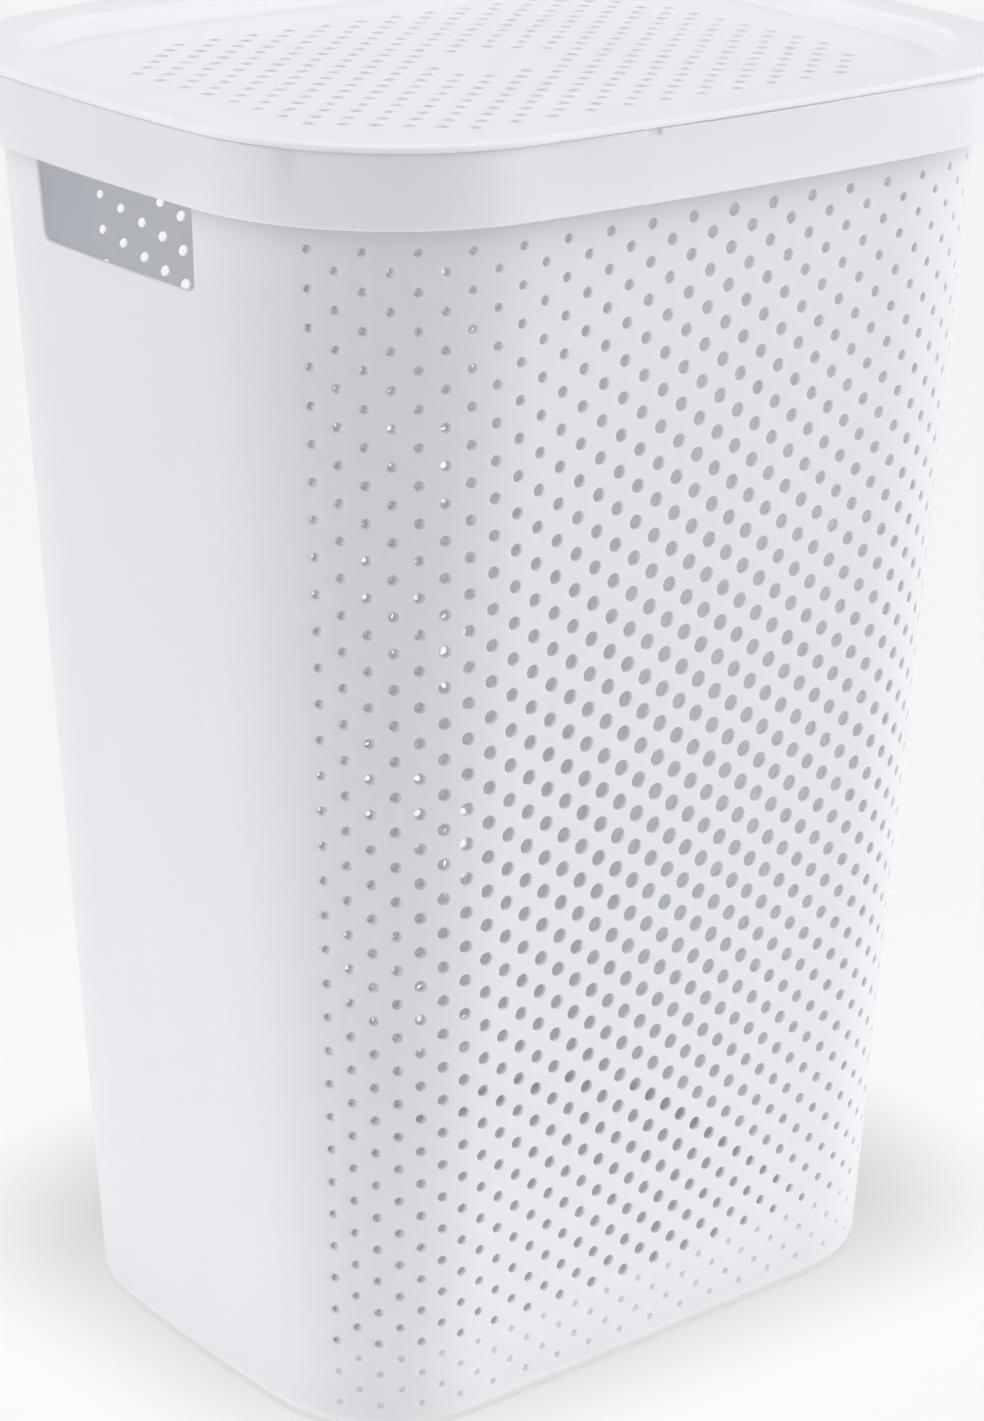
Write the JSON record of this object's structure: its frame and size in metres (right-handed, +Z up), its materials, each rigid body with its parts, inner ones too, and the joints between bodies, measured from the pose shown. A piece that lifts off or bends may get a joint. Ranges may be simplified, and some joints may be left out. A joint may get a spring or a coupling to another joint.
{
  "type": "laundry hamper",
  "caption": "Tall tapered laundry basket with rounded corners, perforated long sides, side hand openings, a smooth rim collar and a hinged lid with a sunk perforated panel.",
  "frame": {"origin": "centre of the rim's footprint on the floor plane that the basket stands on", "axes": "+X along the long side, from the left handle to the right handle; -Y towards the front, the edge of the lid that lifts; +Z up"},
  "size_m": [0.4376, 0.3594, 0.602],
  "materials": {
    "basket_white": "satin moulded polypropylene",
    "collar_white": "satin moulded polypropylene",
    "lid_white": "satin moulded polypropylene",
    "pin_white": "smooth moulded plastic"
  },
  "bodies": {
    "basket": {"basket_body": "basket_white", "rim_collar": "collar_white", "hinge_pin_left": "pin_white", "hinge_pin_right": "pin_white"},
    "lid": {"lid": "lid_white"}
  },
  "joints": [
    {"name": "lid_hinge", "type": "hinge", "parent": "basket", "child": "lid", "pos_m": [0, 0.1775, 0.5925], "axis": [-1, 0, 0], "range_deg": [0, 105]}
  ]
}
